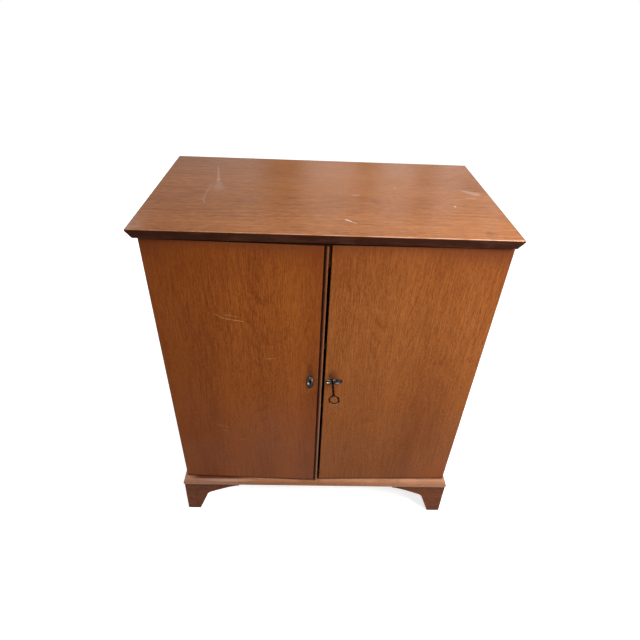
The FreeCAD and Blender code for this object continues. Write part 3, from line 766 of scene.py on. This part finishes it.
def merged_shape(name):
    cad = frame["nodes"][name].data
    shape = bmesh.new()
    corners = [shape.verts.new(corner.co) for corner in cad.vertices]
    for face in cad.polygons:
        shape.faces.new([corners[index] for index in face.vertices])
    bmesh.ops.remove_doubles(shape, verts=shape.verts, dist=merge_distance)
    bmesh.ops.dissolve_limit(shape, angle_limit=flat_angle, verts=shape.verts, edges=shape.edges)
    return shape


# A raised rim about a key plate and its keyhole, left by sinking the face between them
rim_width, rim_slope, dish_depth = 0.0011, 0.0004, 0.0006
front_face = 0.99


def dished(shape, facing):
    front = [face for face in shape.faces if face.normal.dot(facing) > front_face]
    for width, depth in ((rim_width, 0.0), (rim_slope, -dish_depth)):
        bmesh.ops.inset_region(shape, faces=front, thickness=width, depth=depth, use_even_offset=True)
    return shape


def apply_modifiers(pieces):
    graph = bpy.context.evaluated_depsgraph_get()
    meshes = [bpy.data.meshes.new_from_object(piece.evaluated_get(graph)) for piece in pieces]
    for piece, mesh in zip(pieces, meshes):
        piece.modifiers.clear()
        piece.data = mesh


def new_piece(name, shape, material):
    mesh = bpy.data.meshes.new(name)
    shape.to_mesh(mesh)
    shape.free()
    for face in mesh.polygons:
        face.use_smooth = True
    mesh.materials.clear()
    mesh.materials.append(material)
    piece = bpy.data.objects.new(name, mesh)
    bpy.context.scene.collection.objects.link(piece)
    return piece


# Gives the faces between two heights a second finish
def paint_band(piece, material, low, high):
    piece.data.materials.append(material)
    for face in piece.data.polygons:
        if low < face.center.z < high:
            face.material_index = 1


def dress(name, material, edge):
    shape = merged_shape(name)
    if name.endswith("key_plate"):
        shape = dished(shape, forward)
    piece = new_piece(name + "_finished", shape, material)
    bevel = piece.modifiers.new("Eased edges", "BEVEL")
    bevel.width = edge
    bevel.segments = 2
    bevel.limit_method = "ANGLE"
    bevel.angle_limit = soft_angle
    flats = piece.modifiers.new("Flat faces first", "WEIGHTED_NORMAL")
    flats.keep_sharp = True
    return piece


# Widths of the eased edges, and the heights between which the edge of the lid is stained
veneer_edge = 0.0003
panel_edge = 0.0004
wood_edge = 0.0006
foot_edge = 0.0008
laminate_edge = 0.0002
rubber_edge = 0.0006
catch_edge = 0.0008
metal_edge = 0.00018
key_edge = 0.0007
lid_band = (lid_under + 0.0008, lid_top - 0.0016)

# Finishes for every piece, with the width of its eased edges
brass = metal_finish("Aged brass", brass_bright, brass_dull, roughness=0.34, patch=0.012)
lock_steel = metal_finish("Lock steel", steel_bright, steel_dull, roughness=0.40, patch=0.010)
key_steel = metal_finish("Key steel", key_bright, key_dark, roughness=0.28, patch=0.006)
laminate = flecked_finish("Dark laminate", laminate_tone, laminate_fleck,
                          roughness=0.24, specular=0.45, size=0.0025)
rubber = flecked_finish("Rubber", rubber_tone, rubber_dust, roughness=0.75, specular=0.25, size=0.0012)
catch_plastic = flecked_finish("Catch plastic", catch_tone, catch_shade,
                               roughness=0.45, specular=0.35, size=0.0015)
across_board = inside_finish("Boards across", "yzx", seed=13.0)
upright_rail = inside_finish("Rails across", "zyx", seed=14.0)
deep_batten = inside_finish("Battens", "zxy", seed=15.0)
left_veneer = door_finish("Left door veneer", "left_door_swing", -1, (left_light, left_dark),
                          left_box, left_shades, left_spots, left_marks)
right_veneer = door_finish("Right door veneer", "right_door_swing", 1, (right_sheen_light, right_sheen_dark),
                           right_box, right_shades, right_spots, right_marks)
left_bronze = plate_finish("Left key plate", "left_door_swing", left_plate, left_glints)
right_bronze = plate_finish("Right key plate", "right_door_swing", right_plate, right_glints)

looks = {
    "lid_panel": (lid_finish(), veneer_edge),
    "left_door_panel": (left_veneer, veneer_edge),
    "right_door_panel": (right_veneer, veneer_edge),
    "meeting_bead": (bead_finish(), veneer_edge),
    "side_panel_left": (side_finish("Left side veneer", seed=5.0), panel_edge),
    "side_panel_right": (side_finish("Right side veneer", seed=6.0), panel_edge),
    "base_moulding_front": (moulding_finish("Front moulding", "zyx", seed=30.0), panel_edge),
    "base_moulding_left": (moulding_finish("Left moulding", "zxy", seed=31.0), panel_edge),
    "base_moulding_right": (moulding_finish("Right moulding", "zxy", seed=32.0), panel_edge),
    "back_panel": (ply_finish(), wood_edge),
    "bar_deck_laminate": (laminate, laminate_edge),
    "lid_bumpers": (rubber, rubber_edge),
    "door_catches": (catch_plastic, catch_edge),
    "deck_battens": (deep_batten, wood_edge),
    "left_key_plate": (left_bronze, metal_edge),
    "right_key_plate": (right_bronze, metal_edge),
    "key": (key_steel, key_edge),
}
for board in ("bottom_board", "bar_deck", "shelf"):
    looks[board] = (across_board, wood_edge)
for rail in ("front_top_rail", "rear_hinge_rail", "base_rear_rail", "foot_blocks"):
    looks[rail] = (upright_rail, wood_edge)
for number, name in enumerate(sorted(frame["nodes"])):
    if "_foot_" in name:
        order = "zxy" if name.endswith("side") else "zyx"
        looks[name] = (foot_finish(name.replace("_", " "), order, seed=40.0 + number), foot_edge)
    if slot_of[name] == "brass":
        looks[name] = (brass, metal_edge)
    if slot_of[name] == "lock_steel":
        looks[name] = (lock_steel, metal_edge)

dressed = {name: dress(name, material, edge) for name, (material, edge) in looks.items()}
paint_band(dressed["lid_panel"], lid_edge_finish(), *lid_band)
apply_modifiers(list(dressed.values()))
for name, piece in dressed.items():
    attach(piece, body_of[name])
    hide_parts(name)


# Screw heads: slotted domes set on marked points, each facing its own way. The slot is cut by a bar, and
# its sizes count in radii of the head
dome_segments, dome_rings = 18, 8
bar_length, bar_height = 3.0, 2.0
slot_width, slot_depth, no_slot = 0.26, 0.75, -0.5


def build_screw_tree():
    tree = bpy.data.node_groups.new("Screw heads", "GeometryNodeTree")
    inputs = [("Sites", "Geometry", None), ("Slot width", "Float", slot_width)]
    inputs += [("Slot depth", "Float", slot_depth), ("Seed", "Int", None), ("Metal", "Material", None)]
    for label, kind, start in inputs:
        socket = tree.interface.new_socket(label, in_out="INPUT", socket_type="NodeSocket" + kind)
        if start is not None:
            socket.default_value = start
    tree.interface.new_socket("Heads", in_out="OUTPUT", socket_type="NodeSocketGeometry")
    given = tree.nodes.new("NodeGroupInput").outputs
    result = tree.nodes.new("NodeGroupOutput").inputs

    def stored(label, kind):
        return first(tree, "GeometryNodeInputNamedAttribute", {"Name": label}, data_type=kind)

    sockets = {"Segments": dome_segments, "Rings": dome_rings, "Radius": 1.0}
    dome = first(tree, "GeometryNodeMeshUVSphere", sockets)
    size = combine(tree, bar_length, given["Slot width"], bar_height)
    bar = first(tree, "GeometryNodeMeshCube", {"Size": size})
    lift = combine(tree, 0.0, 0.0, maths(tree, "SUBTRACT", bar_height, given["Slot depth"]))
    bar = first(tree, "GeometryNodeTransform", {"Geometry": bar, "Translation": lift})
    sockets = {"Mesh 1": dome, "Mesh 2": bar}
    head = first(tree, "GeometryNodeMeshBoolean", sockets, operation="DIFFERENCE")
    radius = stored("head_radius", "FLOAT")
    sockets = {"Vector": stored("facing", "FLOAT_VECTOR")}
    aim = first(tree, "FunctionNodeAlignRotationToVector", sockets, axis="Z")
    sockets = {2: 0.0, 3: math.pi, "Seed": given["Seed"]}
    angle = node(tree, "FunctionNodeRandomValue", sockets, data_type="FLOAT").outputs[1]
    spin = first(tree, "FunctionNodeAxisAngleToRotation", {"Axis": (0, 0, 1), "Angle": angle})
    sockets = {"Rotation": aim, "Rotate By": spin}
    aim = first(tree, "FunctionNodeRotateRotation", sockets, rotation_space="LOCAL")
    sockets = {"Points": given["Sites"], "Instance": head, "Rotation": aim}
    sockets["Scale"] = combine(tree, radius, radius, stored("head_rise", "FLOAT"))
    heads = first(tree, "GeometryNodeInstanceOnPoints", sockets)
    heads = first(tree, "GeometryNodeRealizeInstances", {"Geometry": heads})
    sockets = {"Geometry": heads, "Material": given["Metal"]}
    tree.links.new(first(tree, "GeometryNodeSetMaterial", sockets), result["Heads"])
    return tree


screw_tree = build_screw_tree()


def set_input(modifier, label, value):
    for item in modifier.node_group.interface.items_tree:
        if item.name == label and item.in_out == "INPUT":
            modifier[item.identifier] = value


# A site is a point, the way its head faces, the head's radius and how far it stands proud
def screw_heads(name, body, metal, sites, slotted=True):
    mesh = bpy.data.meshes.new(name)
    mesh.from_pydata([site[0] for site in sites], [], [])
    facing = mesh.attributes.new("facing", "FLOAT_VECTOR", "POINT")
    facing.data.foreach_set("vector", [number for site in sites for number in site[1]])
    for column, label in ((2, "head_radius"), (3, "head_rise")):
        size = mesh.attributes.new(label, "FLOAT", "POINT")
        size.data.foreach_set("value", [site[column] for site in sites])
    piece = bpy.data.objects.new(name, mesh)
    bpy.context.scene.collection.objects.link(piece)
    heads = piece.modifiers.new("Screw heads", "NODES")
    heads.node_group = screw_tree
    set_input(heads, "Seed", len(sites))
    set_input(heads, "Metal", metal)
    if not slotted:
        set_input(heads, "Slot depth", no_slot)
    apply_modifiers([piece])
    for face in piece.data.polygons:
        face.use_smooth = True
    piece.data.set_sharp_from_angle(angle=soft_angle)
    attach(piece, body)


# Screw heads of each kind: their radius, and how far they stand proud
hinge_head = (0.0031, 0.0002)
pivot_head = (0.0026, 0.0002)
guide_head = (0.0022, 0.0007)
catch_head = (0.0024, 0.0007)
catch_plate_head = (0.0024, 0.00006)
stay_head = (0.0027, 0.0007)
keeper_head = (0.0026, 0.0007)
lock_head = (0.0028, 0.0007)
back_pin_head = (0.0024, 0.0005)
plate_pin_head = (0.0011, 0.0006)


# Sites on both sides of the cabinet, from points and a facing that are given for its right side
def on_both_sides(points, facing, head):
    sites = []
    for side in (-1, 1):
        turned = Vector((side * facing.x, facing.y, facing.z))
        sites += [(Vector((side * x, y, z)), turned, *head) for x, y, z in points]
    return sites


# Lid hinges: how far apart they sit, and their screws aside from the middle and in from the rear
hinge_spread = 0.260
hinge_leaf = 0.0012
hinge_screws_at = ((-0.024, 0.017), (0.0, 0.009), (0.024, 0.017))


def hinge_screws(z, facing):
    sites = []
    for x in (-hinge_spread, hinge_spread):
        for aside, inset in hinge_screws_at:
            point = Vector((x + aside, carcass_rear - inset, z))
            sites.append((point, facing, *hinge_head))
    return sites


# Door pivots: the upper plates' screws run back from the front, the lower plates' screws run inwards
upper_screws_at, lower_screws_at = (0.016, 0.036), (0.011, 0.021)
lower_plate = 0.0024


def pivot_screws():
    pivot = Vector(joints["right_door_swing"]["pos_m"])
    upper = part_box("upper_pivot_plates")[1].z
    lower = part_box("lower_pivot_plates")[0].z + lower_plate
    points = [(pivot.x, carcass_front + reach, upper) for reach in upper_screws_at]
    points += [(pivot.x - reach, pivot.y, lower) for reach in lower_screws_at]
    return on_both_sides(points, up, pivot_head)


# Guides of the quadrant stays, with a screw near each end
guide_margin = 0.0035
guide_face = 0.013


def stay_keeper_screws():
    low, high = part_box("stay_keepers")
    x, z = high.x - guide_face, (low.z + high.z) / 2
    points = [(x, y, z) for y in (low.y + guide_margin, high.y - guide_margin)]
    return on_both_sides(points, Vector((-1, 0, 0)), guide_head)


# Magnetic catches under the front rail
catch_screws_at = (0.044, 0.076)
catch_inset = 0.014


def catch_screws():
    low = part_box("door_catches")[0]
    points = [(x, low.y + catch_inset, low.z) for x in catch_screws_at]
    return on_both_sides(points, down, catch_head)


# Feet of the quadrant stays, under the lid
stay_aside = 0.3585
stay_ahead = 0.250
stay_screw_reach = 0.017


def stay_foot_screws():
    y, z = hinge_line - stay_ahead, lid_under - hinge_leaf
    points = [(stay_aside, y + reach, z) for reach in (-stay_screw_reach, stay_screw_reach)]
    return on_both_sides(points, down, stay_head)


# Pins round the edge of the back panel
pin_margin = 0.009
pin_columns, pin_rows = 8, 9


def back_pins():
    left, right = -inner_face + pin_margin, inner_face - pin_margin
    low, high = base_top + pin_margin, carcass_top - pin_margin
    points = []
    for number in range(pin_columns + 1):
        x = left + number * (right - left) / pin_columns
        points += [(x, low), (x, high)]
    for number in range(1, pin_rows):
        z = low + number * (high - low) / pin_rows
        points += [(left, z), (right, z)]
    return [(Vector((x, carcass_rear, z)), back, *back_pin_head) for x, z in points]


# Sites where a door stands ajar, from rows for the shut door: x, y, z and a head
def ajar(joint, facing, rows):
    turn, pivot = shutting(joint)
    turn = turn.transposed()
    sites = []
    for x, y, z, head in rows:
        point = pivot + turn @ (Vector((x, y, z)) - pivot)
        sites.append((point, turn @ facing, *head))
    return sites


# Fittings behind the doors: catch plates on both, the keeper on the left and the lock on the right
catch_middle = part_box("left_catch_plate")[0].z + 0.006
catch_face = door_back + 0.0012
catch_near, catch_far = 0.045, 0.075
keeper_face = door_back + 0.007
keeper_aside, keeper_rise = 0.0125, 0.010
lock_face = door_back + 0.016
lock_near, lock_far, lock_rise = 0.0132, 0.0508, 0.0178
left_fittings = [(x, catch_face, catch_middle, catch_plate_head) for x in (-catch_far, -catch_near)]
for z in (key_height - keeper_rise, key_height + keeper_rise):
    left_fittings.append((-keeper_aside, keeper_face, z, keeper_head))
right_fittings = [(x, catch_face, catch_middle, catch_plate_head) for x in (catch_near, catch_far)]
for x in (lock_near, lock_far):
    for z in (key_height - lock_rise, key_height + lock_rise):
        right_fittings.append((x, lock_face, z, lock_head))

# Pins of the key plates: above and below the middle on the left, to both sides of it on the right
plate_face = door_front - 0.0016
plate_pin_reach = 0.0178
right_plate_low, right_plate_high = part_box("right_key_plate")
middle_x, _, middle_z = (right_plate_low + right_plate_high) / 2
left_pins, right_pins = [], []
for reach in (-plate_pin_reach, plate_pin_reach):
    left_pins.append((-plate_aside, plate_face, key_height + reach, plate_pin_head))
    right_pins.append((middle_x + reach, plate_face, middle_z, plate_pin_head))

fixed_screws = hinge_screws(carcass_top + hinge_leaf, up) + pivot_screws() + stay_keeper_screws()
screw_heads("carcass_screws", "carcass", brass, fixed_screws + catch_screws())
screw_heads("back_panel_pins", "carcass", lock_steel, back_pins(), slotted=False)
lid_sites = hinge_screws(lid_under - hinge_leaf, down) + stay_foot_screws()
screw_heads("lid_screws", "lid", brass, lid_sites)
for side, rows in (("left", left_fittings), ("right", right_fittings)):
    sites = ajar(side + "_door_swing", back, rows)
    screw_heads(side + "_door_screws", side + "_door", brass, sites)
bronze_pins = metal_finish("Plate pins", bronze_dull, bronze_dark, roughness=0.25, patch=0.002)
for side, rows in (("left", left_pins), ("right", right_pins)):
    sites = ajar(side + "_door_swing", forward, rows)
    screw_heads(side + "_plate_pins", side + "_door", bronze_pins, sites, slotted=False)


# Floor and surroundings: white to the camera, pale in reflections, plain light to everything else
def mirrored_rays(tree):
    path = node(tree, "ShaderNodeLightPath").outputs
    return maths(tree, "MAXIMUM", path["Is Glossy Ray"], path["Is Transmission Ray"])


def seen_rays(tree):
    path = node(tree, "ShaderNodeLightPath").outputs
    return maths(tree, "MAXIMUM", path["Is Camera Ray"], mirrored_rays(tree))


# What reflections show behind the cabinet: dimmer to the left, in soft upright bands near the horizon
def mirrored_tone(tree):
    x, y, z = split(tree, node(tree, "ShaderNodeTexCoord").outputs["Generated"])
    heading = maths(tree, "ARCTAN2", x, y)
    rate = maths(tree, "MULTIPLY_ADD", heading, band_growth, band_rate)
    turns = maths(tree, "MULTIPLY_ADD", heading, rate, band_start)
    wave = maths(tree, "COSINE", maths(tree, "MULTIPLY", turns, 2 * math.pi))
    shade = maths(tree, "MULTIPLY", ramp(tree, wave, *band_edge), ramp(tree, z, *band_top))
    slope = mix_values(tree, ramp(tree, heading, *mirror_turn), mirror_left, 1.0)
    return maths(tree, "MULTIPLY", slope, mix_values(tree, shade, 1.0, mirror_dip))


def lay_floor():
    shape = bmesh.new()
    bmesh.ops.create_grid(shape, x_segments=1, y_segments=1, size=floor_size / 2)
    material = bpy.data.materials.new("Pale floor")
    material.use_nodes = True
    tree = material.node_tree
    shader = tree.nodes["Principled BSDF"]
    seen = seen_rays(tree)
    shader.inputs["Roughness"].default_value = floor_roughness
    shader.inputs["Specular IOR Level"].default_value = 0.0
    shader.inputs["Emission Color"].default_value = (1, 1, 1, 1)
    tone = mix_colours(tree, seen, (floor_bounce,) * 3, (floor_seen,) * 3)
    tree.links.new(tone, shader.inputs["Base Color"])
    tree.links.new(maths(tree, "MULTIPLY", seen, floor_lift), shader.inputs["Emission Strength"])
    floor = new_piece("floor", shape, material)


def hang_lamp(name, at, size, power):
    lamp = bpy.data.lights.new(name, "AREA")
    lamp.shape = "SQUARE"
    lamp.size = size
    lamp.energy = power
    stand = bpy.data.objects.new(name, lamp)
    stand.location = at
    stand.rotation_euler = (Vector(lamp_aim) - Vector(at)).to_track_quat("-Z", "Y").to_euler()
    bpy.context.scene.collection.objects.link(stand)


def light_studio():
    world = bpy.data.worlds.new("Studio")
    bpy.context.scene.world = world
    world.use_nodes = True
    tree = world.node_tree
    background = tree.nodes["Background"]
    background.inputs["Color"].default_value = (1, 1, 1, 1)
    strength = mix_values(tree, seen_rays(tree), world_fill, 1.0)
    strength = mix_values(tree, mirrored_rays(tree), strength, mirrored_tone(tree))
    tree.links.new(strength, background.inputs["Strength"])
    for name, (at, size, power) in lamps.items():
        hang_lamp(name, at, size, power)


def place_camera():
    camera = bpy.data.objects.new("Camera", bpy.data.cameras.new("Camera"))
    camera.data.lens = camera_lens
    camera.data.sensor_width = camera_sensor
    camera.data.clip_end = 2 * floor_size
    turns = ((camera_heading, "Z"), (camera_tilt, "X"), (camera_roll, "Z"))
    place = Matrix.Translation((camera_aside, lid_front - camera_away, camera_height))
    for degrees, axis in turns:
        place = place @ Matrix.Rotation(math.radians(degrees), 4, axis)
    camera.matrix_world = place
    bpy.context.scene.collection.objects.link(camera)
    bpy.context.scene.camera = camera


lay_floor()
light_studio()
place_camera()
bpy.context.scene.view_settings.view_transform = "Standard"
